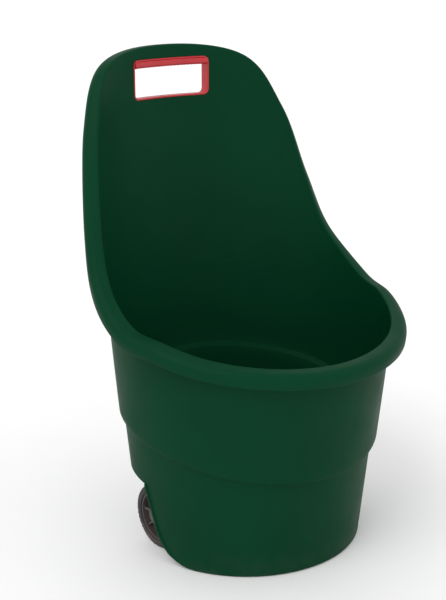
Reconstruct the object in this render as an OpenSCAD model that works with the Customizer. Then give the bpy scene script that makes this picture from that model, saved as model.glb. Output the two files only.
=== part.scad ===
// Wheeled tub cart for firewood: a moulded tub with a tall scoop back, a lined hand opening and two wheels.
// Millimetres, +Z up. The origin is the centre of the tub's round base, on the ground.
// The tub opens towards -Y, the hand opening is at +Y, and the axle lies along X.

/* [Tub] */
// Height from the ground to the top of the back
cart_h = 840; // [820:5:860]
// Outer radius of the tub at the ground
base_r = 205; // [200:1:210]
// How much the outer radius grows for each millimetre of height
wall_taper = 0.098; // [0.09:0.002:0.11]
// Thickness of the moulded wall and floor
wall_t = 3.6; // [3:0.2:5]
// How far the wall steps out at the ledge
ledge_out = 9; // [6:0.5:11]
// Height of the ledge above the ground, at the middle of the tub's sides
ledge_z = 230; // [215:1:245]
// Rise of the ledge towards the back, in millimetres for each millimetre
ledge_slope = 0.25; // [0.15:0.005:0.3]

/* [Back] */
// Distance from the origin to the back wall, carried down to the ground
back_y = 131; // [126:1:138]
// Lean of the back wall near the ground
back_lean = 0.17; // [0.15:0.002:0.19]
// How much the lean fades for each millimetre of height
back_bow = 0.00008; // [0.00006:0.000002:0.0001]
// Plan radius of the back wall
back_r = 312; // [295:1:330]

/* [Rim] */
// How far the rolled rim stands out of the wall
rim_out = 26; // [22:1:28]
// Depth of the rim's turned-down skirt
rim_drop = 25; // [22:1:30]

/* [Hand opening] */
// Width of the hole for the handle liner
hole_w = 164; // [144:2:166]
// Height of the hole for the handle liner
hole_h = 70; // [60:1:74]
// Height of the hole's lower edge
hole_z = 747; // [745:1:755]
// Corner radius of the hole
hole_corner = 11; // [8:1:16]
// Thickness of the liner's wall
liner_t = 3; // [2.4:0.2:4]
// Height of the grip bar along the top of the liner
grip_h = 15; // [12:1:18]

/* [Wheels and axle] */
// Diameter of the tyre
tyre_d = 112; // [106:2:116]
// Width of the tyre
tyre_w = 30; // [26:1:32]
// Distance from the origin to the tyre's outer face
track_x = 182; // [180:1:188]
// Distance from the origin back to the axle
axle_y = 25; // [22:1:28]
// Diameter of the steel axle
axle_d = 10; // [8:1:12]

/* [Hidden] */
$fn = 96;

// Colours
tub_green = [0.07, 0.23, 0.15];
grip_red = [0.68, 0.14, 0.17];
hub_grey = [0.25, 0.25, 0.26];
tyre_black = [0.12, 0.11, 0.11];
steel = [0.72, 0.73, 0.75];
nylon = [0.86, 0.86, 0.82];

// The rim line on one side, from the front to the top of the back: plan angle from -Y, and height.
rim_line = [
    [0, 378], [19, 381], [37, 388], [54, 399], [70.5, 416], [86, 432],
    [104, 500], [114.5, 598], [125.5, 723], [142.5, 817], [180, cart_h]
];
half_cols = 42;
cols = 2 * half_cols;
// Radius of the tub's bottom edge, and height where the wall inside runs into the floor's fillet
edge_r = 5;
fillet_z = 26;
// Places along the axle, on one side, outwards from the middle
hanger_t = 11;
niche_x = track_x - tyre_w - 8;
hanger_x = niche_x - hanger_t;
washer_x = niche_x + 2;
hub_x = washer_x + 2;
hub_end = track_x - 8;
end_gap = 0.4;
nut_x = hub_end + 1.8;
axle_end = hub_end + 5;
axle_z = tyre_d / 2;
axle_r = axle_d / 2;
// Radii about the axle, and the clearance that a wheel runs with
run_gap = 0.06;
bush_r = axle_r + 3;
sleeve_r = axle_r + 2.5;
washer_r = 11;
boss_r = 16;
spigot_r = 13.5;
cap_r = spigot_r + 3.5;
rim_r = tyre_d / 2 - 12;

// The hand opening sits in a round wall about this upright axis
panel_y = wall_back_y(hole_z + hole_h / 2, ledge_out) - back_r;

function to_pow(r) = pow(r, -16);
function clamp_low(x) = max(x, 1);

// ---- The wall's shape ----
// Distance from the origin back to the back wall at height z
function wall_back_y(z, out) = back_y + back_lean * z - back_bow * z * z + out;

// Distance from the Z axis to the back wall's arc, in plan direction a
function back_reach(a, y) =
    let (u = cos(a) * (back_r - y))
    u + sqrt(clamp_low(u * u - pow(back_r - y, 2) + back_r * back_r));

// Plan radius of the wall's outer face: the round tub, blended into the flatter back wall
function wall_r(a, z, out) =
    pow(to_pow(base_r + wall_taper * z + out) + to_pow(back_reach(a, wall_back_y(z, out))), -1 / 16);

// A point on the wall, moved outwards in plan by off
function wall_point(a, z, out, off) =
    let (r = wall_r(a, z, out) + off)
    [r * sin(a), -r * cos(a), z];

// Height of the ledge in plan direction a
function ledge_at(a) =
    ledge_z - ledge_slope * (base_r + wall_taper * ledge_z) * cos(a);

// ---- The rim line ----
function rim_knot(i) =
    i < 0 ? [-rim_line[-i][0], rim_line[-i][1]] :
    i > 10 ? [360 - rim_line[20 - i][0], rim_line[20 - i][1]] :
    rim_line[i];

// A smooth curve through the knots, with u from 0 at the front to 10 at the top of the back
function rim_at(u) =
    let (
        i = min(floor(u), 9),
        f = u - i,
        p0 = rim_knot(i - 1),
        p1 = rim_knot(i),
        p2 = rim_knot(i + 1),
        p3 = rim_knot(i + 2)
    )
    p1 + 0.5 * f * (p2 - p0 + f * (2 * p0 - 5 * p1 + 4 * p2 - p3 + f * (3 * (p1 - p2) + p3 - p0)));

function unit(v) = v / norm(v);
function crown(u) =
    let (k = rim_at(u))
    wall_point(k[0], k[1], ledge_out, 0);

// Frame on the rim line: the crown point, the wall's outward normal, and the way up across the rim
function rim_frame(u) =
    let (
        k = rim_at(u),
        du = 0.01,
        u0 = max(u - du, 0),
        u1 = min(u + du, 10),
        along = u <= 0 ? [1, 0, 0] : u >= 10 ? [-1, 0, 0] : unit(crown(u1) - crown(u0)),
        da = wall_point(k[0] + 0.1, k[1], ledge_out, 0) - wall_point(k[0] - 0.1, k[1], ledge_out, 0),
        dz = wall_point(k[0], k[1] + 1, ledge_out, 0) - wall_point(k[0], k[1] - 1, ledge_out, 0),
        out = unit(cross(da, dz))
    )
    [crown(u), out, cross(out, along)];

// ---- Section of the rolled rim: how far out and how far up from the crown ----
roll_r = rim_out * 0.62;
rim_round = [for (q = [0:30:90]) [cos(q), sin(q)]];
rim_section = concat(
    [[0, -wall_t]],
    [for (i = [3:-1:0]) [
        rim_out - roll_r + (roll_r - wall_t) * rim_round[i][0],
        -roll_r + (roll_r - wall_t) * rim_round[i][1]
    ]],
    [[rim_out - wall_t, -rim_drop], [rim_out, -rim_drop]],
    [for (p = rim_round) [rim_out - roll_r + roll_r * p[0], -roll_r + roll_r * p[1]]],
    [[0, 0], [-wall_t * 0.7, -wall_t * 0.3], [-wall_t, -wall_t]]
);

// ---- Rows of points up the outside, over the rim and down the inside ----
base_rows = [[0, -edge_r], [1.5, -1.5], [edge_r, 0]];
floor_rows = [[fillet_z, 0], [12, -3], [6, -8], [wall_t, -18]];
block_top = 175;
function base_rows_above(z) = [for (r = base_rows) if (r[0] > z) r];
lower_steps = [0.25, 0.5, 0.75];
upper_steps = [0.15, 0.3, 0.45, 0.6, 0.74, 0.86, 0.94];
ledge_low = -3;
ledge_high = 3;

function reversed(list) = [for (i = [len(list) - 1:-1:0]) list[i]];

// One column of the skin: every point at plan angle a, side +1 or -1, under the rim line at u
function column(u, side) =
    let (
        k = rim_at(u),
        a = k[0],
        top = k[1],
        ledge = ledge_at(a),
        frame = rim_frame(u),
        points = concat(
            [for (r = base_rows) wall_point(a, r[0], 0, r[1])],
            [for (f = lower_steps) wall_point(a, edge_r + f * (ledge + ledge_low - edge_r), 0, 0)],
            [wall_point(a, ledge + ledge_low, 0, 0), wall_point(a, ledge, ledge_out, 0)],
            [for (f = upper_steps) wall_point(a, ledge + f * (top - ledge), ledge_out, 0)],
            [for (s = rim_section) frame[0] + s[0] * frame[1] + s[1] * frame[2]],
            [for (f = reversed(upper_steps)) wall_point(a, ledge + f * (top - ledge), ledge_out, -wall_t)],
            [
                wall_point(a, ledge + ledge_high, ledge_out, -wall_t),
                wall_point(a, ledge, 0, -wall_t)
            ],
            [for (f = reversed(lower_steps)) wall_point(a, fillet_z + f * (ledge - fillet_z), 0, -wall_t)],
            [for (r = floor_rows) wall_point(a, r[0], 0, r[1] - wall_t)]
        )
    )
    [for (p = points) [side * p[0], p[1], p[2]]];

function column_u(j) = 10 * (j <= half_cols ? j : cols - j) / half_cols;
function column_side(j) = j <= half_cols ? 1 : -1;

// A closed solid from columns of points, with a flat cap at each end of the columns
module closed_skin(columns) {
    n = len(columns);
    rows = len(columns[0]);
    polyhedron(
        points = [for (c = columns) each c],
        faces = concat(
            [for (j = [0:n - 1]) for (i = [0:rows - 2])
                for (tri = [[0, 3, 1], [0, 2, 3]])
                    [for (v = tri) ((j + v % 2) % n) * rows + i + floor(v / 2)]],
            [[for (j = [0:n - 1]) j * rows]],
            [[for (j = [n - 1:-1:0]) j * rows + rows - 1]]
        ),
        convexity = 8
    );
}

module tub_skin() {
    closed_skin([for (j = [0:cols - 1]) column(column_u(j), column_side(j))]);
}

// A solid block inside the lower wall, depth in from its outer face, from z0 to just over the wheel niches
module inner_block(depth, z0) {
    block_rows = concat([[z0, -edge_r]], base_rows_above(z0), [[block_top, 0]]);
    closed_skin([for (j = [0:cols - 1])
        let (a = rim_at(column_u(j))[0])
        [for (r = block_rows)
            let (p = wall_point(a, r[0], 0, r[1] - depth))
            [column_side(j) * p[0], p[1], p[2]]]
    ]);
}

// ---- The underside: wheel niches at the sides and a raised floor between the wheels ----
niche_front = axle_y - tyre_d / 2 - 12;
niche_lean = 1 / 3;
niche_top = tyre_d + 19;
niche_rise = 0.15;
niche_round = 30;
arch_front = axle_y - tyre_d / 2 + 8;
arch_lean = 0.27;
arch_round = 85;
bay_front = 8;
bay_top = 70;
bay_bevel = 14;
bay_flat_end = 2 * axle_y + 10;
bay_rear = back_y + 20;
// The cuts run past the tub: down to low, out to side_reach and back to rear_reach
low = -60;
side_reach = 300;
rear_reach = 420;
front_reach = -400;

// The niche's front wall leans back by a third, and its roof rises towards the back
function niche_front_at(z) = niche_front + niche_lean * (z - axle_z);
function niche_top_at(y) = niche_top + niche_rise * (y - niche_front);
function arch_front_at(z) = arch_front + arch_lean * (z - axle_z);

// Side outline of a wheel niche, in Y and Z, grown by g
module niche_side(g) {
    offset(r = niche_round + g, $fn = 48)
        offset(delta = -niche_round)
            polygon([
                [niche_front_at(low), low], [niche_front_at(niche_top), niche_top],
                [rear_reach, niche_top_at(rear_reach)], [rear_reach, low]
            ]);
}

// Side outline of the opening in the tub's side, grown by g: the wall in front of it has a well rounded lower
// corner, and hides the front of the wheel
module arch_side(g) {
    offset(r = g, $fn = 48)
        difference() {
            polygon([
                [front_reach / 2, low], [front_reach / 2, niche_top_at(front_reach / 2)],
                [rear_reach, niche_top_at(rear_reach)], [rear_reach, low]
            ]);
            offset(r = arch_round, $fn = 96)
                offset(delta = -arch_round)
                    polygon([
                        [front_reach, -1], [arch_front_at(-1), -1],
                        [arch_front_at(-front_reach), -front_reach], [front_reach, -front_reach]
                    ]);
        }
}

// Side outline of the bay over the axle, rising to the rear edge of the tub
module bay_side(g) {
    offset(r = g, $fn = 32)
        polygon([
            [bay_front, low], [bay_front, bay_top - bay_bevel], [bay_front + bay_bevel, bay_top],
            [bay_flat_end, bay_top], [bay_rear, niche_top_at(bay_rear)],
            [rear_reach, niche_top_at(rear_reach)], [rear_reach, low]
        ]);
}

// A side outline in Y and Z, made solid from x0 to x1
module along_x(x0, x1) {
    translate([x0, 0, 0])
        rotate([90, 0, 90])
            linear_extrude(x1 - x0)
                children();
}

// All that is cut from below, grown by g: the bay, and on each side a niche and the opening to it
module undercut(g) {
    along_x(-niche_x - 1, niche_x + 1) bay_side(g);
    for (m = [0, 1])
        mirror([m, 0, 0]) {
            along_x(niche_x - g, side_reach) arch_side(g);
            intersection() {
                along_x(niche_x - g, side_reach) niche_side(g);
                inner_block(wall_t - g, low);
            }
        }
}

// ---- The tub ----
hanger_r = 16;
hanger_top = [axle_y + 46, 12];

// Plates that hang from the raised floor and carry the axle
module hangers() {
    for (m = [0, 1])
        mirror([m, 0, 0])
            along_x(hanger_x, niche_x)
                intersection() {
                    hull() {
                        translate([axle_y, axle_z]) circle(r = hanger_r, $fn = 32);
                        translate([bay_front - 2, bay_top]) square(hanger_top);
                    }
                    bay_side(1);
                }
}

// A rectangle with round corners, centred
module round_rect(w, h, r) {
    square([w - 2 * r, h], center = true);
    square([w, h - 2 * r], center = true);
    for (x = [-1, 1])
        for (y = [-1, 1])
            translate([x * (w / 2 - r), y * (h / 2 - r)])
                circle(r = r);
}

// The outline of the hand opening, shrunk by g all round and driven through the back along Y
module through_back(g) {
    y0 = back_y + 69;
    y1 = back_y + 229;
    translate([0, y1, hole_z + hole_h / 2])
        rotate([90, 0, 0])
            linear_extrude(y1 - y0)
                round_rect(hole_w - 2 * g, hole_h - 2 * g, hole_corner - g);
}

module tub_shell() {
    color(tub_green)
        resize([0, 0, cart_h])
            difference() {
                union() {
                    difference() {
                        union() {
                            tub_skin();
                            intersection() {
                                inner_block(wall_t / 2, wall_t / 2);
                                undercut(wall_t);
                            }
                        }
                        undercut(0);
                    }
                    hangers();
                }
                through_back(0);
                along_axle(-niche_x - 1) cylinder(r = bush_r + 0.2, h = 2 * niche_x + 2, $fn = 32);
            }
}

// ---- The hand opening's lining ----
liner_gap = 0.3;
liner_front = back_r - wall_t - 1.6;
liner_back = back_r + rim_out / 2;

// A ring about the back wall's own axis, between two radii and two heights
module back_ring(r0, r1, z0, z1) {
    translate([0, panel_y, z0])
        rotate_extrude($fn = 180)
            translate([r0, 0])
                square([r1 - r0, z1 - z0]);
}

module handle_liner() {
    snap_w = 22;
    snap_drop = 2.4;
    overlap = 0.5;
    color(grip_red) {
        intersection() {
            difference() {
                through_back(liner_gap);
                through_back(liner_gap + liner_t);
            }
            back_ring(liner_front, liner_back, hole_z - 5, hole_z + hole_h + 5);
        }
        // Snap ridges under the opening, behind the wall
        for (x = [-1, 1])
            intersection() {
                translate([x * hole_w / 4 - snap_w / 2, 0, hole_z - snap_drop])
                    cube([snap_w, rear_reach, snap_drop + liner_gap + overlap]);
                back_ring(back_r + 1.5, back_r + 6, hole_z - 5, hole_z + 5);
            }
    }
}

module handle_grip() {
    grip_low = hole_z + hole_h - grip_h;
    grip_top = hole_z + hole_h - liner_gap - liner_t;
    grip_round = 5;
    r0 = liner_front - 2.2;
    r1 = liner_back + 1;
    color(grip_red)
        intersection() {
            through_back(liner_gap + liner_t + 0.01);
            translate([0, panel_y, 0])
                rotate_extrude($fn = 180)
                    translate([(r0 + r1) / 2, 0]) {
                        translate([0, grip_low + grip_round])
                            square([r1 - r0 - 2 * grip_round, 2 * grip_round], center = true);
                        for (x = [-1, 1])
                            translate([x * ((r1 - r0) / 2 - grip_round), grip_low + grip_round])
                                circle(r = grip_round);
                        translate([-(r1 - r0) / 2, grip_low + grip_round])
                            square([r1 - r0, grip_top - grip_low - grip_round]);
                    }
        }
}

// ---- The wheels and the axle ----
// Puts a shape drawn along +Z onto the axle line, starting at x
module along_axle(x) {
    translate([x, axle_y, axle_z])
        rotate([0, 90, 0])
            children();
}

module on_side(side) {
    mirror([side < 0 ? 1 : 0, 0, 0]) children();
}

module ring(r0, r1, h) {
    difference() {
        cylinder(r = r1, h = h);
        translate([0, 0, -1]) cylinder(r = r0, h = h + 2);
    }
}

module axle() {
    color(steel)
        along_axle(-axle_end) cylinder(r = axle_r, h = 2 * axle_end);
}

module axle_bush(side) {
    length = hanger_t + 1;
    flange_t = washer_x - niche_x;
    color(nylon)
        on_side(side)
            along_axle(hanger_x - 1)
                difference() {
                    union() {
                        cylinder(r = bush_r, h = length);
                        translate([0, 0, length]) cylinder(r = washer_r, h = flange_t);
                    }
                    translate([0, 0, -1]) cylinder(r = axle_r + run_gap, h = length + flange_t + 2);
                }
}

module inner_washer(side) {
    color(steel)
        on_side(side)
            along_axle(washer_x) ring(axle_r + 0.1, washer_r, hub_x - washer_x - end_gap);
}

module outer_washer(side) {
    color(steel)
        on_side(side)
            along_axle(hub_end + end_gap) ring(axle_r + 0.1, washer_r, nut_x - hub_end - end_gap);
}

module push_nut(side) {
    nut_r = 8.5;
    nut_t = 1.5;
    color(steel)
        on_side(side)
            along_axle(nut_x)
                difference() {
                    cylinder(r = nut_r, h = axle_end - nut_x + nut_t);
                    translate([0, 0, -1]) cylinder(r = axle_r, h = axle_end - nut_x + 1);
                }
}

module hub_sleeve(side) {
    color(nylon)
        on_side(side)
            along_axle(hub_x) ring(axle_r + run_gap, sleeve_r, hub_end - hub_x);
}

// Places across the wheel, measured from its inner face
tyre_x = track_x - tyre_w;
wheel_lip = 2;
web_x = 12;
web_t = 4;
rim_wall = 4;
spokes = 8;
spoke_t = 4;
spoke_h = 13;
web_hole_r = 5;
cap_x = hub_end - 4;
cap_end = track_x + 2;
cap_gap = 0.5;

module wheel_hub(side) {
    color(hub_grey)
        on_side(side)
            along_axle(tyre_x)
                difference() {
                    union() {
                        translate([0, 0, hub_x - tyre_x]) cylinder(r = boss_r, h = cap_x - hub_x);
                        translate([0, 0, cap_x - tyre_x]) cylinder(r = spigot_r, h = hub_end - cap_x);
                        translate([0, 0, web_x]) cylinder(r = rim_r - 1, h = web_t);
                        translate([0, 0, wheel_lip]) ring(rim_r - rim_wall, rim_r, tyre_w - 2 * wheel_lip);
                        for (i = [0:spokes - 1])
                            rotate(i * 360 / spokes)
                                translate([boss_r - 2, -spoke_t / 2, web_x])
                                    cube([rim_r - rim_wall - boss_r + 4, spoke_t, spoke_h]);
                    }
                    // Bore for the sleeve, and room for the cap on its spigot
                    translate([0, 0, -tyre_w]) cylinder(r = sleeve_r, h = 3 * tyre_w);
                    translate([0, 0, cap_x - tyre_x]) ring(spigot_r, cap_r + cap_gap, tyre_w);
                    for (i = [0:spokes - 1])
                        rotate((i + 0.5) * 360 / spokes)
                            translate([(boss_r + rim_r - rim_wall) / 2, 0, web_x - 1])
                                cylinder(r = web_hole_r, h = web_t + 2);
                }
}

module tyre(side) {
    shoulder = 6;
    groove = 2;
    tyre_r = tyre_d / 2;
    color(tyre_black)
        on_side(side)
            along_axle(tyre_x)
                rotate_extrude()
                    difference() {
                        union() {
                            translate([rim_r, 0]) square([tyre_r - shoulder - rim_r, tyre_w]);
                            translate([rim_r, shoulder]) square([tyre_r - rim_r, tyre_w - 2 * shoulder]);
                            for (x = [shoulder, tyre_w - shoulder])
                                translate([tyre_r - shoulder, x]) circle(r = shoulder);
                        }
                        for (x = [tyre_w / 3, tyre_w * 2 / 3])
                            translate([tyre_r - groove, x - groove / 2]) square([2 * groove, groove]);
                    }
}

module hub_cap(side) {
    cap_round = 4;
    cap_wall = 2.4;
    depth = cap_end - cap_x;
    color(hub_grey)
        on_side(side)
            along_axle(cap_x)
                difference() {
                    union() {
                        cylinder(r = cap_r, h = depth - cap_round);
                        cylinder(r = cap_r - cap_round, h = depth);
                        translate([0, 0, depth - cap_round])
                            rotate_extrude()
                                translate([cap_r - cap_round, 0]) circle(r = cap_round);
                    }
                    translate([0, 0, -1]) cylinder(r = spigot_r, h = depth + 1 - cap_wall);
                }
}

tub_shell();
handle_liner();
handle_grip();
axle();
axle_bush(1);  // left_axle_bush
inner_washer(1);  // left_inner_washer
wheel_hub(1);  // left_wheel_hub
hub_sleeve(1);  // left_hub_sleeve
tyre(1);  // left_tyre
outer_washer(1);  // left_outer_washer
push_nut(1);  // left_push_nut
hub_cap(1);  // left_hub_cap
axle_bush(-1);  // right_axle_bush
inner_washer(-1);  // right_inner_washer
wheel_hub(-1);  // right_wheel_hub
hub_sleeve(-1);  // right_hub_sleeve
tyre(-1);  // right_tyre
outer_washer(-1);  // right_outer_washer
push_nut(-1);  // right_push_nut
hub_cap(-1);  // right_hub_cap
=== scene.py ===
"""Looks of the wheeled firewood tub cart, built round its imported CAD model. Metres, +Z up."""

import math

import bmesh
import bpy
import numpy as np
from mathutils import Matrix, Vector


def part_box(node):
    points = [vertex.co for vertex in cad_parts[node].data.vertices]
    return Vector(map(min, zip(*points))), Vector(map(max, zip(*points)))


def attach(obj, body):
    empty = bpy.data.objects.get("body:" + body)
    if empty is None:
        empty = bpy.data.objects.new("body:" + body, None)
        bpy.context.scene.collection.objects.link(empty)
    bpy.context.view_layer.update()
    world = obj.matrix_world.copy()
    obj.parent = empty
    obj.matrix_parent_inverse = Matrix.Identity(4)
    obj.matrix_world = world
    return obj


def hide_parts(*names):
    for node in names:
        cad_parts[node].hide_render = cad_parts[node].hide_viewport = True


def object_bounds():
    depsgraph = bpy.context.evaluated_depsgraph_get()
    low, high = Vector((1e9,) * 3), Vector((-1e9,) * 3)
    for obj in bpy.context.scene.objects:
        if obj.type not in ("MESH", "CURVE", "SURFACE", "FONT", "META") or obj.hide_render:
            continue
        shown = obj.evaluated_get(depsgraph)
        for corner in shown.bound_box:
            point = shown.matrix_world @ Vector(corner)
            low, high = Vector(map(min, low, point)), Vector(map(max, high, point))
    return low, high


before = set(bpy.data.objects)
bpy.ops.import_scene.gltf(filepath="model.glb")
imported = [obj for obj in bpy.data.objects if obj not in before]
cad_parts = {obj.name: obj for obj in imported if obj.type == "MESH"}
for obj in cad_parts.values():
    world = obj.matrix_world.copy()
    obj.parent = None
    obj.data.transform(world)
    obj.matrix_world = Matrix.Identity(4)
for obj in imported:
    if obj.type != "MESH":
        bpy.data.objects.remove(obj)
cad_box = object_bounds()

MM = 0.001
SIDES = {"left": 1, "right": -1}

# ---- Sizes of the tub, as in the CAD source ----
CART_H = cad_box[1].z
BASE_R = 205 * MM
WALL_TAPER = 0.098
WALL_T = 3.6 * MM
LEDGE_OUT = 9 * MM
LEDGE_Z = 230 * MM
LEDGE_SLOPE = 0.25
BACK_Y = 131 * MM
BACK_LEAN = 0.17
BACK_BOW = 0.08
BACK_R = 312 * MM
RIM_OUT = 25.8 * MM
RIM_DROP = 25 * MM
ROLL_R = 0.62 * RIM_OUT
EDGE_R = 5 * MM
BLOCK_TOP = 175 * MM
CORNER_POWER = 16
# The rim line on one side: plan angle from -Y in degrees, and height in millimetres
RIM_LINE = np.array([
    [0, 378], [19, 381], [37, 388], [54, 399], [70.5, 416], [86, 432],
    [104, 500], [114.5, 598], [125.5, 723], [142.5, 817], [180, CART_H / MM],
])

# ---- Sizes of the hand opening ----
HOLE_W = 164 * MM
HOLE_H = 70 * MM
HOLE_Z = 747 * MM
HOLE_CORNER = 11 * MM
LINER_GAP = 0.3 * MM
LINER_T = 3 * MM
GRIP_H = 15 * MM

# ---- Sizes of the underside, the wheels and the axle ----
AXLE_Y, AXLE_Z = [(a + b) / 2 for a, b in zip(*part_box("axle"))][1:]
AXLE_R = (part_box("axle")[1].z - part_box("axle")[0].z) / 2
AXLE_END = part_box("axle")[1].x
TYRE_R = (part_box("left_tyre")[1].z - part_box("left_tyre")[0].z) / 2
TYRE_X0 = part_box("left_tyre")[0].x
TYRE_X1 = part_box("left_tyre")[1].x
HUB_X0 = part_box("left_wheel_hub")[0].x
HUB_SLEEVE_X1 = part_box("left_hub_sleeve")[1].x
SLEEVE_R = (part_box("left_hub_sleeve")[1].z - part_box("left_hub_sleeve")[0].z) / 2
NICHE_X = TYRE_X0 - 8 * MM
NICHE_FRONT = AXLE_Y - TYRE_R - 12 * MM
NICHE_LEAN = 1 / 3
NICHE_TOP = 2 * TYRE_R + 19 * MM
NICHE_RISE = 0.15
NICHE_ROUND = 30 * MM
ARCH_FRONT = AXLE_Y - TYRE_R + 8 * MM
ARCH_LEAN = 0.27
ARCH_ROUND = 85 * MM
BAY_FRONT = 8 * MM
BAY_TOP = 70 * MM
HANGER_X = NICHE_X - 11 * MM


# ---------------------------------------------------------------- mesh helpers
def new_object(name, verts, faces, smooth_angle=35):
    """A mesh object with smooth faces, and hard edges where they turn by more than smooth_angle degrees."""
    mesh = bpy.data.meshes.new(name)
    mesh.from_pydata([tuple(v) for v in verts], [], faces)
    mesh.validate()
    obj = bpy.data.objects.new(name, mesh)
    bpy.context.scene.collection.objects.link(obj)
    smooth(obj, smooth_angle)
    return obj


def smooth(obj, angle):
    obj.data.shade_smooth()
    obj.data.set_sharp_from_angle(angle=math.radians(angle))


def outwards(obj):
    """Turns every face of a closed mesh outwards."""
    bm = bmesh.new()
    bm.from_mesh(obj.data)
    bmesh.ops.recalc_face_normals(bm, faces=bm.faces)
    bm.to_mesh(obj.data)
    bm.free()
    return obj


def grid_faces(n, m, close_n, close_m):
    """Quads over an n by m grid of points, joined end to end where it says."""
    return [
        (i * m + j, ((i + 1) % n) * m + j, ((i + 1) % n) * m + (j + 1) % m, i * m + (j + 1) % m)
        for i in range(n if close_n else n - 1)
        for j in range(m if close_m else m - 1)
    ]


def capped_skin(name, columns):
    """A closed solid from a ring of columns of points, with a cap over each end of the columns."""
    n, m = columns.shape[:2]
    verts = list(columns.reshape(-1, 3))
    faces = grid_faces(n, m, True, False)
    for row, turned in ((0, False), (m - 1, True)):
        middle = len(verts)
        verts.append(columns[:, row].mean(axis=0))
        for i in range(n):
            edge = [i * m + row, ((i + 1) % n) * m + row]
            faces.append((middle, *(edge if turned else edge[::-1])))
    return outwards(new_object(name, verts, faces))


def swept_ring(name, rings):
    """A closed tube: rings is a ring of closed sections, as an array of points."""
    n, m = rings.shape[:2]
    return outwards(new_object(name, rings.reshape(-1, 3), grid_faces(n, m, True, True)))


def arc(centre, radius, start, end, steps):
    """Points on an arc, with angles in degrees."""
    turns = np.radians(np.linspace(start, end, steps + 1))
    return [(centre[0] + radius * math.cos(q), centre[1] + radius * math.sin(q)) for q in turns]


def rounded(corners, radius, steps=4):
    """A closed outline through corners, each rounded off. A corner is (x, y) or (x, y, its own radius)."""
    points = []
    count = len(corners)
    for i, corner in enumerate(corners):
        here = np.array(corner[:2])
        back = np.array(corners[i - 1][:2]) - here
        ahead = np.array(corners[(i + 1) % count][:2]) - here
        r = corner[2] if len(corner) > 2 else radius
        unit_back = back / np.linalg.norm(back)
        unit_ahead = ahead / np.linalg.norm(ahead)
        half = math.acos(np.clip(unit_back @ unit_ahead, -1, 1)) / 2
        reach = min(r / math.tan(half), np.linalg.norm(back) * 0.49, np.linalg.norm(ahead) * 0.49)
        start, end = here + unit_back * reach, here + unit_ahead * reach
        for t in np.linspace(0, 1, steps + 1):
            weights = np.array([(1 - t) ** 2, 2 * t * (1 - t) * math.sin(half), t * t])
            points.append(weights @ np.array([start, here, end]) / weights.sum())
    return np.array(points)


def turned_on_axle(name, outline, segments=96, radius_at=None):
    """A solid turned about the axle line from an outline of (x, radius) points."""
    outline = np.array(outline)
    rings = np.zeros((segments, len(outline), 3))
    for i in range(segments):
        q = 2 * math.pi * i / segments
        radii = outline[:, 1] if radius_at is None else radius_at(q, outline)
        rings[i, :, 0] = outline[:, 0]
        rings[i, :, 1] = AXLE_Y + radii * math.cos(q)
        rings[i, :, 2] = AXLE_Z + radii * math.sin(q)
    return swept_ring(name, rings)


def swept_bar(name, rings):
    """A closed bar: rings is a row of closed sections, as an array of points, and each end is capped."""
    n, m = rings.shape[:2]
    faces = grid_faces(n, m, False, True)
    faces += [tuple(range(m)), tuple(range(n * m - 1, n * m - m - 1, -1))]
    return outwards(new_object(name, rings.reshape(-1, 3), faces))


def prism_along_x(name, outline, x0, x1):
    """A closed solid with a side outline of (y, z) points, from x0 to x1."""
    return swept_bar(name, np.array([[(x, y, z) for y, z in outline] for x in (x0, x1)]))


def carve(obj, tool, operation):
    """Joins, cuts or keeps what obj shares with tool, and removes the tool."""
    step = obj.modifiers.new("carve", "BOOLEAN")
    step.object = tool
    step.operation = operation
    step.solver = "MANIFOLD"
    bake_modifiers(obj)
    bpy.data.objects.remove(tool)
    return obj


def bake_modifiers(obj):
    graph = bpy.context.evaluated_depsgraph_get()
    result = bpy.data.meshes.new_from_object(obj.evaluated_get(graph))
    obj.modifiers.clear()
    obj.data = result


def mirrored(obj, name):
    """A copy of obj on the other side of the plane X = 0."""
    mesh = obj.data.copy()
    mesh.transform(Matrix.Scale(-1, 4, Vector((1, 0, 0))))
    mesh.flip_normals()
    copy = bpy.data.objects.new(name, mesh)
    bpy.context.scene.collection.objects.link(copy)
    return copy


# ---------------------------------------------------------------- the tub's wall
def wall_back_y(z, out):
    return BACK_Y + BACK_LEAN * z - BACK_BOW * z * z + out


def wall_r(a, z, out):
    """Plan radius of the wall's outer face: the round tub, blended into the flatter back wall."""
    y = wall_back_y(z, out)
    u = np.cos(a) * (BACK_R - y)
    reach = u + np.sqrt(np.maximum(u * u - (BACK_R - y) ** 2 + BACK_R**2, MM**2))
    around = BASE_R + WALL_TAPER * z + out
    return around * (1 + (around / reach) ** CORNER_POWER) ** (-1 / CORNER_POWER)


def wall_point(a, z, out=0.0, off=0.0):
    r = wall_r(a, z, out) + off
    return np.stack([r * np.sin(a), -r * np.cos(a), z + 0 * r], axis=-1)


def ledge_at(a):
    return LEDGE_Z - LEDGE_SLOPE * (BASE_R + WALL_TAPER * LEDGE_Z) * np.cos(a)


def rim_at(u):
    """Plan angle and height of the rim line, with u from 0 at the front to 10 at the top of the back."""
    before = [-1, 1] * RIM_LINE[1]
    after = [360, 0] + [-1, 1] * RIM_LINE[-2]
    knots = np.vstack([before, RIM_LINE, after])
    i = np.minimum(np.floor(u), 9).astype(int)
    f = (u - i)[:, None]
    p0, p1, p2, p3 = (knots[i + k] for k in range(4))
    cubic = 3 * (p1 - p2) + p3 - p0
    square = 2 * p0 - 5 * p1 + 4 * p2 - p3
    line = p1 + 0.5 * f * (p2 - p0 + f * (square + f * cubic))
    return np.radians(line[:, 0]), line[:, 1] * MM


def unit(v):
    return v / np.linalg.norm(v, axis=-1, keepdims=True)


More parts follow.
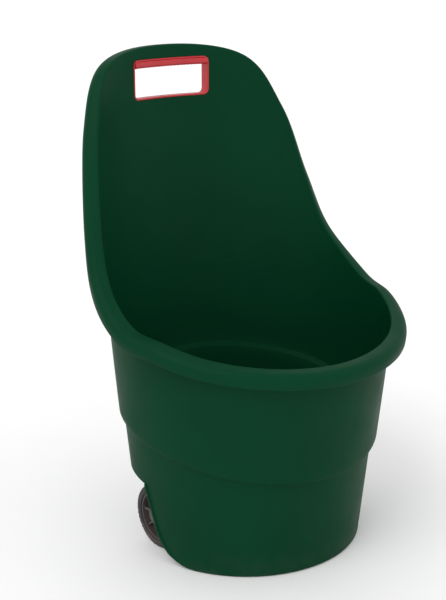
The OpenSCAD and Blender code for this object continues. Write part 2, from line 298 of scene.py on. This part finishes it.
def rim_frame(u):
    """The crown of the rim, the wall's outward normal there, and the way up across the rim."""
    a, z = rim_at(u)
    step = 0.01
    a0, z0 = rim_at(np.maximum(u - step, 0))
    a1, z1 = rim_at(np.minimum(u + step, 10))
    along = unit(wall_point(a1, z1, LEDGE_OUT) - wall_point(a0, z0, LEDGE_OUT))
    along[u <= 0] = [1, 0, 0]
    along[u >= 10] = [-1, 0, 0]
    across = wall_point(a + 0.002, z, LEDGE_OUT) - wall_point(a - 0.002, z, LEDGE_OUT)
    upwards = wall_point(a, z + MM, LEDGE_OUT) - wall_point(a, z - MM, LEDGE_OUT)
    out = unit(np.cross(across, upwards))
    return wall_point(a, z, LEDGE_OUT), out, np.cross(out, along)


def rim_section():
    """The rolled rim's section, from the wall's inner corner out to the skirt and back over the crown."""
    centre = (RIM_OUT - ROLL_R, -ROLL_R)
    lip = WALL_T / 2
    under = [(0.0, -WALL_T)] + arc(centre, ROLL_R - WALL_T, 90, 0, 8)
    skirt = arc((RIM_OUT - lip, -RIM_DROP + lip), lip, 180, 360, 6)
    over = arc(centre, ROLL_R, 0, 90, 12)
    shoulder = arc((0.0, -WALL_T), WALL_T, 90, 180, 6)
    return under + skirt + over + shoulder


def bottom_edge():
    """Height and way in, along the rounded bottom edge of the wall."""
    turns = np.radians(np.linspace(0, 90, 6))
    return [(EDGE_R * (1 - math.cos(q)), EDGE_R * (math.sin(q) - 1)) for q in turns]


def tub_columns(u, side):
    """Columns of points up the outside, over the rim and down the inside, one for each place u."""
    a, top = rim_at(u)
    ledge = ledge_at(a)
    crown, out, up = rim_frame(u)
    inside = -WALL_T
    fillet_z = 26 * MM
    step_h = 3.2 * MM
    rows = [wall_point(a, z, 0, off) for z, off in bottom_edge()]
    for f in np.linspace(0.12, 0.92, 7):
        rows.append(wall_point(a, EDGE_R + f * (ledge - EDGE_R)))
    for t in np.linspace(-1, 1, 11):
        rise = (1 + math.sin(t * math.pi / 2)) / 2
        rows.append(wall_point(a, ledge + (t - 0.4) * step_h, LEDGE_OUT * rise))
    for f in np.linspace(0.06, 0.97, 16):
        rows.append(wall_point(a, ledge + f * (top - ledge), LEDGE_OUT))
    for o, h in rim_section():
        rows.append(crown + o * out + h * up)
    for f in np.linspace(0.97, 0.06, 16):
        rows.append(wall_point(a, ledge + f * (top - ledge), LEDGE_OUT, inside))
    for t in np.linspace(1, -1, 11):
        rise = (1 + math.sin(t * math.pi / 2)) / 2
        rows.append(wall_point(a, ledge + (t + 0.6) * step_h, LEDGE_OUT * rise, inside))
    for f in np.linspace(0.92, 0.05, 7):
        rows.append(wall_point(a, fillet_z + f * (ledge - fillet_z), 0, inside))
    fillet_r = fillet_z - WALL_T
    for q in np.radians(np.linspace(0, 90, 9)):
        rows.append(wall_point(
            a, fillet_z - fillet_r * math.sin(q), 0, inside - 0.6 * fillet_r * (1 - math.cos(q))))
    columns = np.stack([r + 0 * crown for r in rows], axis=1)
    return columns * [side, 1, 1]


def both_sides(columns_at, half_cols):
    """A ring of columns: up one side of the tub from the front to the back, and down the other."""
    u = np.linspace(0, 10, half_cols + 1)
    one = columns_at(u, 1)
    other = columns_at(u[1:-1], -1)[::-1]
    return np.concatenate([one, other], axis=0)


def inner_block(depth, z0):
    """The solid inside the lower wall, depth in from its outer face, from z0 to over the wheel niches."""
    rows = [(z0, -EDGE_R)] + [row for row in bottom_edge() if row[0] > z0] + [(BLOCK_TOP, 0.0)]

    def block_columns(u, side):
        a = rim_at(u)[0]
        return np.stack([wall_point(a, z, 0, off - depth) for z, off in rows], axis=1) * [side, 1, 1]

    return capped_skin("block", both_sides(block_columns, 60))


# ---------------------------------------------------------------- the underside
LOW = -60 * MM
FAR_SIDE = 300 * MM
FAR_BACK = 420 * MM


def niche_front_at(z):
    return NICHE_FRONT + NICHE_LEAN * (z - AXLE_Z)


def niche_top_at(y):
    return NICHE_TOP + NICHE_RISE * (y - NICHE_FRONT)


def arch_front_at(z):
    return ARCH_FRONT + ARCH_LEAN * (z - AXLE_Z)


def grown(outline, g):
    """An outline moved outwards by g; the outline runs counter-clockwise."""
    outline = np.array(outline)
    edge = np.roll(outline, -1, axis=0) - outline
    normal = unit(np.stack([edge[:, 1], -edge[:, 0]], axis=1))
    before = np.roll(normal, 1, axis=0)
    share = 1 + (normal * before).sum(axis=1, keepdims=True)
    return outline + g * (normal + before) / share


def niche_side(g):
    """Side outline of a wheel niche, in Y and Z, grown by g."""
    corners = [
        (niche_front_at(LOW), LOW), (FAR_BACK, LOW),
        (FAR_BACK, niche_top_at(FAR_BACK)), (niche_front_at(NICHE_TOP), NICHE_TOP),
    ]
    corners = grown(corners, g)
    radii = [MM, MM, MM, NICHE_ROUND + g]
    return rounded([(*c, r) for c, r in zip(corners, radii)], MM, steps=10)


def arch_side(g):
    """Side outline of the opening in the tub's side, grown by g. The wall before it has a round corner."""
    low_front = -200 * MM
    floor_z = -MM
    top_front = ARCH_FRONT + ARCH_LEAN * (NICHE_TOP - NICHE_RISE * NICHE_FRONT - AXLE_Z)
    top_front /= 1 - ARCH_LEAN * NICHE_RISE
    corners = [
        (low_front, LOW), (FAR_BACK, LOW), (FAR_BACK, niche_top_at(FAR_BACK)),
        (top_front, niche_top_at(top_front)), (arch_front_at(floor_z), floor_z), (low_front, floor_z),
    ]
    corners = grown(corners, g)
    radii = [MM, MM, MM, MM + g, ARCH_ROUND - g, MM]
    return rounded([(*c, r) for c, r in zip(corners, radii)], MM, steps=24)


def bay_side(g):
    """Side outline of the bay over the axle, grown by g, rising to the tub's rear edge."""
    bevel = 14 * MM
    flat_end = 2 * AXLE_Y + 10 * MM
    rear = BACK_Y + 20 * MM
    corners = [
        (BAY_FRONT, LOW), (FAR_BACK, LOW), (FAR_BACK, niche_top_at(FAR_BACK)),
        (rear, niche_top_at(rear)), (flat_end, BAY_TOP),
        (BAY_FRONT + bevel, BAY_TOP), (BAY_FRONT, BAY_TOP - bevel),
    ]
    return rounded(grown(corners, g), 5 * MM, steps=4)


def undercut(g):
    """All that is cut from below: the bay, and on each side a niche behind the wall and the opening to it."""
    cut = prism_along_x("cut", bay_side(g), -NICHE_X - MM, NICHE_X + MM)
    for side in SIDES.values():
        ends = sorted([side * (NICHE_X - g), side * FAR_SIDE])
        carve(cut, prism_along_x("arch", arch_side(g), *ends), "UNION")
        niche = prism_along_x("niche", niche_side(g), *ends)
        carve(niche, inner_block(WALL_T - g, LOW), "INTERSECT")
        carve(cut, niche, "UNION")
    return cut


def hanger_outline():
    """Side outline of a hanging plate: round about the axle, and wide where it meets the raised floor."""
    r = 16 * MM
    foot_front = BAY_FRONT - 1 * MM
    foot_back = BAY_FRONT + 66 * MM
    top = BAY_TOP + 4 * MM
    below = arc((AXLE_Y, AXLE_Z), r, 200, 330, 24)
    return [(foot_front, top), (foot_front, AXLE_Z), *below, (foot_back, BAY_TOP - 2 * MM), (foot_back, top)]


def axle_hole():
    """A round cutter for the bushes, right across the tub."""
    r = 8.2 * MM
    outline = arc((AXLE_Y, AXLE_Z), r, 0, 360, 64)[:-1]
    return prism_along_x("axle_hole", outline, -NICHE_X - MM, NICHE_X + MM)


# ---------------------------------------------------------------- the hand opening
OPENING_MID_Z = HOLE_Z + HOLE_H / 2
PANEL_Y = wall_back_y(OPENING_MID_Z, LEDGE_OUT) - BACK_R
LINER_FRONT = BACK_R - WALL_T - 1.6 * MM
LINER_BACK = BACK_R + 13 * MM


def opening_outline(inset, corner_steps=8, side_steps=12):
    """The rounded rectangle of the hand opening, shrunk by inset, with points along its long sides too."""
    w = HOLE_W / 2 - inset
    h = HOLE_H / 2 - inset
    r = HOLE_CORNER - inset
    points = []
    for cx, cz, start in ((1, 1, 0), (-1, 1, 90), (-1, -1, 180), (1, -1, 270)):
        points += arc((cx * (w - r), cz * (h - r)), r, start, start + 90, corner_steps)
        if start in (0, 180):
            for x in np.linspace(cx * (w - r), -cx * (w - r), side_steps + 1)[1:-1]:
                points.append((x, cz * h))
    return np.array(points) + [0, OPENING_MID_Z]


def on_panel(x, radius):
    """Y of a point at x on the round panel of that radius."""
    return PANEL_Y + np.sqrt(radius**2 - x**2)


def opening_cutter():
    outline = opening_outline(0)
    ends = (BACK_Y + 69 * MM, BACK_Y + 229 * MM)
    return swept_bar("opening_cutter", np.array([[(x, y, z) for x, z in outline] for y in ends]))


def wall_x(y, z):
    """X of the wall's outer face, on the left, at a place given by Y and Z."""
    x = BASE_R
    for _ in range(12):
        x = math.sqrt(wall_r(math.atan2(x, -y), z, 0) ** 2 - y * y)
    return x


def arch_bead(side):
    """A round bead along the front edge of the side opening, where the wall is turned in."""
    r = 3.4 * MM
    start, end = 4 * MM, niche_top_at(0)
    outline = [p for p in arch_side(0) if start < p[1] < end and p[0] < AXLE_Y]
    sunk = 0.4 * MM
    path = np.array([(side * (wall_x(y, z) - sunk), y, z) for y, z in outline])
    along = unit(np.gradient(path, axis=0))
    out = unit(np.array([side, 0, 0]) - along * (side * along[:, :1]))
    across = np.cross(along, out)
    turns = np.linspace(0, 2 * math.pi, 17)[:-1, None, None]
    taper = np.clip((path[:, 2:] - start) / (18 * MM), 0.15, 1)
    rings = path + r * taper * (np.cos(turns) * out + np.sin(turns) * across)
    return swept_bar("bead", np.swapaxes(rings, 0, 1))


def build_tub():
    tub = capped_skin("tub", both_sides(tub_columns, 150))
    block = inner_block(WALL_T / 2, WALL_T / 2)
    carve(block, undercut(WALL_T), "INTERSECT")
    carve(tub, block, "UNION")
    carve(tub, undercut(0), "DIFFERENCE")
    for side in SIDES.values():
        ends = sorted([side * HANGER_X, side * NICHE_X])
        hanger = prism_along_x("hanger", hanger_outline(), *ends)
        carve(hanger, prism_along_x("room", bay_side(MM), -NICHE_X - MM, NICHE_X + MM), "INTERSECT")
        carve(tub, hanger, "UNION")
        carve(tub, arch_bead(side), "UNION")
    carve(tub, axle_hole(), "DIFFERENCE")
    carve(tub, opening_cutter(), "DIFFERENCE")
    smooth(tub, 32)
    return tub


def build_liner():
    """The red lining of the hand opening, with rounded front and back edges."""
    round_r = 1.2 * MM
    section = rounded([
        (LINER_GAP, LINER_FRONT), (LINER_GAP + LINER_T, LINER_FRONT),
        (LINER_GAP + LINER_T, LINER_BACK), (LINER_GAP, LINER_BACK),
    ], round_r, steps=4)
    rings = []
    for inset, radius in section:
        outline = opening_outline(inset)
        rings.append(np.stack([outline[:, 0], on_panel(outline[:, 0], radius), outline[:, 1]], axis=1))
    return swept_ring("liner", np.array(rings))


def build_grip():
    """The grip bar along the top of the opening, rounded below and softly ribbed."""
    low = HOLE_Z + HOLE_H - GRIP_H
    high = HOLE_Z + HOLE_H - LINER_GAP - LINER_T - 0.1 * MM
    front, back = LINER_FRONT - 2.2 * MM, LINER_BACK + 1 * MM
    half = HOLE_W / 2 - LINER_GAP - LINER_T - 0.3 * MM
    soft = 5 * MM
    corners = [(front, low), (back, low), (back, high, MM), (front, high, MM)]
    section = rounded(corners, soft, steps=8)
    rib_pitch = 7 * MM
    rib_depth = 0.3 * MM
    count = 240
    columns = []
    for x in np.linspace(-half, half, count):
        fade = min(1, (half - abs(x)) / (10 * MM))
        dip = rib_depth * fade * (0.5 - 0.5 * math.cos(2 * math.pi * x / rib_pitch))
        below = np.clip((high - section[:, 1]) / (high - low) * 2 - 0.4, 0, 1)
        z = section[:, 1] + dip * below
        columns.append(np.stack([np.full(len(z), x), on_panel(x, section[:, 0]), z], axis=1))
    return swept_bar("grip", np.array(columns))


# ---------------------------------------------------------------- wheels and axle
HUB_RIM_R = TYRE_R - 12 * MM
BOSS_R = 16 * MM
SPIGOT_R = 13.5 * MM
WEB_X = TYRE_X0 + 12 * MM
WEB_T = 4 * MM
RIM_WALL = 4 * MM
CAP_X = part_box("left_hub_cap")[0].x
SPOKES = 8


def build_tyre():
    """A solid tyre with rounded shoulders, two grooves round it and small cuts across each shoulder."""
    shoulder = 6 * MM
    groove = 2 * MM
    third = (TYRE_X1 - TYRE_X0) / 3
    corners = [(TYRE_X0, HUB_RIM_R, MM), (TYRE_X0, TYRE_R, shoulder)]
    for x in (TYRE_X0 + third, TYRE_X0 + 2 * third):
        corners += [
            (x - groove / 2, TYRE_R, 0.5 * MM), (x - groove / 2, TYRE_R - groove, 0.4 * MM),
            (x + groove / 2, TYRE_R - groove, 0.4 * MM), (x + groove / 2, TYRE_R, 0.5 * MM),
        ]
    corners += [(TYRE_X1, TYRE_R, shoulder), (TYRE_X1, HUB_RIM_R, MM)]
    outline = rounded(corners, MM, steps=6)
    cuts = 40
    cut_depth = 1.3 * MM
    middle = (TYRE_X0 + TYRE_X1) / 2

    def radius_at(q, points):
        wave = math.cos(q * cuts)
        cut = np.clip((wave - 0.72) * 6, 0, 1)
        near_edge = np.clip((abs(points[:, 0] - middle) - 0.6 * third) / (2 * MM), 0, 1)
        high = np.clip((points[:, 1] - (TYRE_R - 8 * MM)) / (3 * MM), 0, 1)
        return points[:, 1] - cut_depth * cut * near_edge * high

    return turned_on_axle("tyre", outline, segments=480, radius_at=radius_at)


def build_hub():
    """A wheel hub: boss and spigot, web with holes, spokes and a ring that carries the tyre."""
    lip = 2 * MM
    outline = rounded([
        (HUB_X0, SLEEVE_R), (HUB_X0, BOSS_R), (WEB_X, BOSS_R, 2 * MM),
        (WEB_X, HUB_RIM_R - RIM_WALL, 2 * MM), (TYRE_X0 + lip, HUB_RIM_R - RIM_WALL),
        (TYRE_X0 + lip, HUB_RIM_R), (TYRE_X1 - lip, HUB_RIM_R), (TYRE_X1 - lip, HUB_RIM_R - RIM_WALL),
        (WEB_X + WEB_T, HUB_RIM_R - RIM_WALL, 2 * MM), (WEB_X + WEB_T, BOSS_R, 2 * MM),
        (CAP_X, BOSS_R, 0.4 * MM), (CAP_X, SPIGOT_R, 0.4 * MM),
        (HUB_SLEEVE_X1, SPIGOT_R), (HUB_SLEEVE_X1, SLEEVE_R),
    ], 0.7 * MM, steps=3)
    hub = turned_on_axle("hub", outline, segments=120)
    spoke_h = 13 * MM
    half_t = 2 * MM
    edge = 0.5 * MM
    for i in range(SPOKES):
        q = 2 * math.pi * i / SPOKES
        profile = [
            (BOSS_R + 2 * MM, WEB_X + MM), (HUB_RIM_R - RIM_WALL + MM, WEB_X + MM),
            (HUB_RIM_R - RIM_WALL + MM, WEB_X + spoke_h), (BOSS_R + 2 * MM, WEB_X + spoke_h - 3 * MM),
        ]
        section = rounded(profile, MM, steps=3)
        rings = []
        for across, shrink in ((-half_t, edge), (edge - half_t, 0), (half_t - edge, 0), (half_t, edge)):
            rings.append([
                (x, r * math.cos(q) - across * math.sin(q), r * math.sin(q) + across * math.cos(q))
                for r, x in grown(section, -shrink)
            ])
        carve(hub, swept_bar("spoke", np.array(rings) + [0, AXLE_Y, AXLE_Z]), "UNION")
        hole_q = q + math.pi / SPOKES
        hole_mid = (BOSS_R + HUB_RIM_R - RIM_WALL) / 2
        centre = (AXLE_Y + hole_mid * math.cos(hole_q), AXLE_Z + hole_mid * math.sin(hole_q))
        hole = arc(centre, 5 * MM, 0, 345, 23)
        carve(hub, prism_along_x("hole", hole, WEB_X - MM, WEB_X + WEB_T + MM), "DIFFERENCE")
    smooth(hub, 32)
    return hub


def build_cap():
    """A domed cap on the hub's spigot."""
    low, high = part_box("left_hub_cap")
    cap_r = (high.z - low.z) / 2
    outline = rounded([
        (low.x, SPIGOT_R), (low.x, cap_r), (high.x - 1.2 * MM, cap_r, 4 * MM),
        (high.x, 6 * MM, 5 * MM), (high.x, 0.02 * MM, 0.01 * MM),
        (high.x - 2.4 * MM, 0.02 * MM, 0.01 * MM), (high.x - 2.4 * MM, SPIGOT_R),
    ], 0.5 * MM, steps=5)
    return turned_on_axle("cap", outline, segments=96)


def build_ring(name, node, bore, edge=0.3 * MM):
    """A plain ring in the place of a CAD node on the left, with its edges rounded."""
    low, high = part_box(node)
    outer = (high.z - low.z) / 2
    outline = rounded([(low.x, bore), (low.x, outer), (high.x, outer), (high.x, bore)], edge, steps=3)
    return turned_on_axle(name, outline, segments=72)


def build_bush():
    """A bush through the hanging plate, with a flange towards the wheel."""
    low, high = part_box("left_axle_bush")
    flange_r = (high.z - low.z) / 2
    body_r = 8 * MM
    bore = AXLE_R + 0.06 * MM
    outline = rounded([
        (low.x, bore), (low.x, body_r), (NICHE_X, body_r),
        (NICHE_X, flange_r), (high.x, flange_r), (high.x, bore),
    ], 0.35 * MM, steps=3)
    return turned_on_axle("bush", outline, segments=72)


def build_push_nut():
    """A domed nut pressed on the end of the axle."""
    low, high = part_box("left_push_nut")
    outer = (high.z - low.z) / 2
    inner_end = AXLE_END + 0.3 * MM
    outline = rounded([
        (low.x, AXLE_R), (low.x, outer, 0.3 * MM), (low.x + 1.2 * MM, outer, 0.3 * MM),
        (low.x + 1.4 * MM, outer - 2.2 * MM, 0.6 * MM), (high.x, outer - 3 * MM, 1.5 * MM),
        (high.x, 0.02 * MM, 0.01 * MM), (inner_end, 0.02 * MM, 0.01 * MM), (inner_end, AXLE_R, 0.3 * MM),
    ], 0.3 * MM, steps=4)
    return turned_on_axle("push_nut", outline, segments=72)


def build_axle():
    """The steel axle, with chamfered ends."""
    chamfer = 0.8 * MM
    tip = 0.02 * MM
    outline = [
        (-AXLE_END, tip), (-AXLE_END, AXLE_R - chamfer), (-AXLE_END + chamfer, AXLE_R),
        *[(x, AXLE_R) for x in np.linspace(-0.9, 0.9, 19) * AXLE_END],
        (AXLE_END - chamfer, AXLE_R), (AXLE_END, AXLE_R - chamfer), (AXLE_END, tip),
    ]
    return turned_on_axle("axle_bar", outline, segments=64)


# ---------------------------------------------------------------- materials
TUB_GREEN = (4, 55, 33)
HANDLE_RED = (190, 36, 44)


def material(name, **settings):
    """A material with a Principled shader, and constants set on its own sockets."""
    mat = bpy.data.materials.new(name)
    mat.use_nodes = True
    shader = mat.node_tree.nodes["Principled BSDF"]
    for socket, value in settings.items():
        shader.inputs[socket.replace("_", " ")].default_value = value
    return mat, shader


def srgb(red, green, blue):
    """A colour given in 0 to 255, as the linear values that a shader takes."""
    linear = [((c / 255 + 0.055) / 1.055) ** 2.4 if c > 10 else c / 255 / 12.92 for c in (red, green, blue)]
    return (*linear, 1.0)


def node(mat, kind, **values):
    """Adds a shader node and sets its inputs or properties by name."""
    made = mat.node_tree.nodes.new("ShaderNode" + kind)
    for key, value in values.items():
        label = key.replace("_", " ")
        if label in made.inputs:
            made.inputs[label].default_value = value
        else:
            setattr(made, key, value)
    return made


def link(mat, source, target):
    mat.node_tree.links.new(source, target)


def noise(mat, scale, detail=3.0, stretch=(1, 1, 1), offset=(0, 0, 0)):
    """Noise over the object's own coordinates, stretched along the axes if asked."""
    place = node(mat, "TexCoord")
    mapping = node(mat, "Mapping", Scale=stretch, Location=offset)
    link(mat, place.outputs["Object"], mapping.inputs["Vector"])
    made = node(mat, "TexNoise", Scale=scale, Detail=detail)
    link(mat, mapping.outputs["Vector"], made.inputs["Vector"])
    return made.outputs["Fac"]


def spread(mat, value, low, high, out_low, out_high):
    """Maps a value from one range to another, clamped."""
    made = node(mat, "MapRange", clamp=True)
    for key, number in (("From Min", low), ("From Max", high), ("To Min", out_low), ("To Max", out_high)):
        made.inputs[key].default_value = number
    link(mat, value, made.inputs["Value"])
    return made.outputs["Result"]


def mix_colour(mat, share, first, second):
    """Mixes two colours, each a socket or a plain colour."""
    made = node(mat, "Mix", data_type="RGBA")
    link(mat, share, made.inputs["Factor"])
    for socket, value in ((made.inputs[6], first), (made.inputs[7], second)):
        if isinstance(value, tuple):
            socket.default_value = value
        else:
            link(mat, value, socket)
    return made.outputs[2]


def maths(mat, operation, first, second):
    made = node(mat, "Math", operation=operation)
    for socket, value in zip(made.inputs, (first, second)):
        if isinstance(value, (int, float)):
            socket.default_value = value
        else:
            link(mat, value, socket)
    return made.outputs["Value"]


def bumps(mat, shader, *layers):
    """Stacks bump layers of (height socket, distance in metres, strength)."""
    below = None
    for height, distance, strength in layers:
        made = node(mat, "Bump", Distance=distance, Strength=strength)
        link(mat, height, made.inputs["Height"])
        if below is not None:
            link(mat, below, made.inputs["Normal"])
        below = made.outputs["Normal"]
    link(mat, below, shader.inputs["Normal"])


def height_mask(mat, low, high):
    """1 at height low and below, fading to 0 at height high."""
    place = node(mat, "TexCoord")
    parts = node(mat, "SeparateXYZ")
    link(mat, place.outputs["Object"], parts.inputs["Vector"])
    return spread(mat, parts.outputs["Z"], low, high, 1, 0)


def tub_plastic():
    """Dark green moulded plastic: fine grain, faint flow marks, light scuffs and a little dust low down."""
    mat, shader = material("tub_plastic", Specular_IOR_Level=0.05)
    green = srgb(*TUB_GREEN)
    lighter = srgb(*[c * 1.16 for c in TUB_GREEN])
    cloudy = spread(mat, noise(mat, 5, 4), 0.35, 0.65, 0, 1)
    colour = mix_colour(mat, maths(mat, "MULTIPLY", cloudy, 0.45), green, lighter)
    speckle = spread(mat, noise(mat, 700, 2), 0.62, 0.72, 0, 0.25)
    colour = mix_colour(mat, speckle, colour, srgb(*[c * 0.8 for c in TUB_GREEN]))
    fine_lines = spread(mat, noise(mat, 26, 6, (1, 1, 7), (3, 1, 2)), 0.66, 0.74, 0, 1)
    patches = spread(mat, noise(mat, 7, 3, (1, 1, 1), (5, 2, 8)), 0.5, 0.68, 0, 1)
    scuffs = maths(mat, "MULTIPLY", fine_lines, patches)
    colour = mix_colour(mat, maths(mat, "MULTIPLY", scuffs, 0.35), colour, srgb(34, 84, 60))
    low_down = height_mask(mat, 0.0, 0.05)
    dusty = maths(mat, "MULTIPLY", low_down, spread(mat, noise(mat, 30, 5), 0.4, 0.7, 0, 0.35))
    colour = mix_colour(mat, dusty, colour, srgb(52, 76, 58))
    link(mat, colour, shader.inputs["Base Color"])
    rough = spread(mat, noise(mat, 18, 4), 0.3, 0.7, 0.4, 0.52)
    rough = maths(mat, "ADD", rough, maths(mat, "MULTIPLY", scuffs, 0.15))
    link(mat, rough, shader.inputs["Roughness"])
    bumps(
        mat, shader,
        (noise(mat, 9, 2, (1, 1, 0.35)), 0.0015, 0.25),
        (noise(mat, 950, 2), 0.00012, 0.35),
        (scuffs, 0.0001, 0.3),
    )
    return mat


def handle_plastic():
    """Red plastic with a satin skin and slight darkening where hands rub it."""
    mat, shader = material("handle_plastic", Specular_IOR_Level=0.5)
    worn = spread(mat, noise(mat, 40, 4), 0.4, 0.7, 0, 0.5)
    colour = mix_colour(mat, worn, srgb(*HANDLE_RED), srgb(*[c * 0.88 for c in HANDLE_RED]))
    link(mat, colour, shader.inputs["Base Color"])
    link(mat, spread(mat, noise(mat, 60, 3), 0.3, 0.7, 0.3, 0.45), shader.inputs["Roughness"])
    bumps(mat, shader, (noise(mat, 1200, 2), 0.0001, 0.3))
    return mat


def wheel_plastic():
    """Dark brown-grey moulded plastic, slightly dusty."""
    mat, shader = material("wheel_plastic")
    dust = spread(mat, noise(mat, 55, 5), 0.45, 0.75, 0, 0.5)
    link(mat, mix_colour(mat, dust, srgb(62, 56, 55), srgb(96, 88, 82)), shader.inputs["Base Color"])
    link(mat, spread(mat, noise(mat, 90, 3), 0.3, 0.7, 0.45, 0.62), shader.inputs["Roughness"])
    bumps(mat, shader, (noise(mat, 900, 2), 0.00012, 0.4))
    return mat


def tyre_plastic():
    """Matt dark tyre, greyed where it runs on the ground."""
    mat, shader = material("tyre")
    dust = spread(mat, noise(mat, 70, 6), 0.42, 0.7, 0, 0.45)
    link(mat, mix_colour(mat, dust, srgb(44, 39, 40), srgb(88, 80, 76)), shader.inputs["Base Color"])
    link(mat, spread(mat, noise(mat, 120, 3), 0.3, 0.7, 0.6, 0.8), shader.inputs["Roughness"])
    bumps(mat, shader, (noise(mat, 220, 4), 0.0003, 0.4), (noise(mat, 1100, 2), 0.0001, 0.4))
    return mat


def zinc_steel():
    """Zinc-plated steel with fine drawn lines along the axle."""
    mat, shader = material("steel", Metallic=1.0)
    bloom = spread(mat, noise(mat, 80, 5), 0.4, 0.7, 0, 0.6)
    link(mat, mix_colour(mat, bloom, srgb(196, 199, 203), srgb(160, 163, 166)), shader.inputs["Base Color"])
    lines = noise(mat, 400, 3, (0.02, 1, 1))
    link(mat, spread(mat, lines, 0.3, 0.7, 0.24, 0.42), shader.inputs["Roughness"])
    bumps(mat, shader, (lines, 0.00005, 0.25))
    return mat


def natural_nylon():
    """Natural nylon, a little translucent."""
    mat, shader = material("nylon", Subsurface_Weight=0.15, Subsurface_Scale=0.002)
    shade = spread(mat, noise(mat, 90, 4), 0.35, 0.7, 0, 0.5)
    link(mat, mix_colour(mat, shade, srgb(222, 220, 208), srgb(200, 196, 180)), shader.inputs["Base Color"])
    link(mat, spread(mat, noise(mat, 200, 2), 0.3, 0.7, 0.38, 0.5), shader.inputs["Roughness"])
    bumps(mat, shader, (noise(mat, 900, 2), 0.00006, 0.3))
    return mat


def dress(obj, name, mat, slot, body, *stands_for):
    """Names a finished piece, gives it its material and body, and hides the CAD nodes it stands for; slot is
    not used.
    """
    obj.name = name
    obj.data.name = name
    obj.data.materials.clear()
    obj.data.materials.append(mat)
    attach(obj, body)
    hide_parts(*stands_for)
    return obj


def build_object():
    green, red = tub_plastic(), handle_plastic()
    dark, black = wheel_plastic(), tyre_plastic()
    steel, nylon = zinc_steel(), natural_nylon()
    dress(build_tub(), "tub_moulding", green, "tub_plastic", "tub", "tub_shell")
    dress(build_liner(), "handle_lining", red, "handle_plastic", "tub", "handle_liner")
    dress(build_grip(), "handle_grip_bar", red, "handle_plastic", "tub", "handle_grip")
    dress(build_axle(), "axle_rod", steel, "steel", "tub", "axle")
    fixed = {
        "axle_bush": (build_bush(), nylon, "nylon", "tub"),
        "inner_washer": (build_ring("washer", "left_inner_washer", AXLE_R + 0.1 * MM), steel, "steel", "tub"),
        "outer_washer": (build_ring("washer", "left_outer_washer", AXLE_R + 0.1 * MM), steel, "steel", "tub"),
        "push_nut": (build_push_nut(), steel, "steel", "tub"),
    }
    turning = {
        "hub_sleeve": (build_ring("sleeve", "left_hub_sleeve", AXLE_R + 0.06 * MM), nylon, "nylon", "wheel"),
        "wheel_hub": (build_hub(), dark, "wheel_plastic", "wheel"),
        "tyre": (build_tyre(), black, "tyre", "wheel"),
        "hub_cap": (build_cap(), dark, "wheel_plastic", "wheel"),
    }
    for part, (master, mat, slot, body) in {**fixed, **turning}.items():
        for side in SIDES:
            piece = master if side == "left" else mirrored(master, part)
            owner = "tub" if body == "tub" else f"{side}_wheel"
            dress(piece, f"{side}_{part}_piece", mat, slot, owner, f"{side}_{part}")


# ---------------------------------------------------------------- camera, floor and light
def build_camera():
    """A camera that looks at the cart from its front right, a little from above."""
    azimuth, elevation = math.radians(38.39), math.radians(16.74)
    distance = 2.05
    target = Vector((-0.0508, 0, 0.4306))
    level = math.cos(elevation)
    back = Vector((-math.sin(azimuth) * level, -math.cos(azimuth) * level, math.sin(elevation)))
    camera = bpy.data.objects.new("camera", bpy.data.cameras.new("camera"))
    bpy.context.scene.collection.objects.link(camera)
    camera.location = target + distance * back
    camera.rotation_mode = "QUATERNION"
    camera.rotation_quaternion = (-back).to_track_quat("-Z", "Y")
    camera.data.lens = 72.4
    bpy.context.scene.camera = camera


def build_floor():
    """A plain pale floor."""
    half = 30.0
    mat, shader = material("floor", Roughness=0.9, Specular_IOR_Level=0.1)
    shade = spread(mat, noise(mat, 3, 2), 0.3, 0.7, 0, 1)
    colour = mix_colour(mat, shade, (0.93, 0.93, 0.93, 1.0), (0.95, 0.95, 0.95, 1.0))
    link(mat, colour, shader.inputs["Base Color"])
    corners = [(-half, -half, 0), (half, -half, 0), (half, half, 0), (-half, half, 0)]
    floor = new_object("floor", corners, [(0, 1, 2, 3)])
    floor.data.materials.append(mat)


def build_light():
    """White surroundings, and a soft light from above on the cart's right."""
    world = bpy.data.worlds.new("surroundings")
    world.use_nodes = True
    world.node_tree.nodes["Background"].inputs["Color"].default_value = (1, 1, 1, 1)
    world.node_tree.nodes["Background"].inputs["Strength"].default_value = 0.95
    bpy.context.scene.world = world
    light = bpy.data.lights.new("soft_sun", "SUN")
    light.energy = 0.8
    light.angle = math.radians(35)
    sun = bpy.data.objects.new("soft_sun", light)
    bpy.context.scene.collection.objects.link(sun)
    sun.rotation_mode = "QUATERNION"
    sun.rotation_quaternion = Vector((0.8, 0.2, -1)).to_track_quat("-Z", "Y")


build_object()
build_camera()
build_floor()
build_light()
bpy.context.scene.view_settings.view_transform = "Standard"
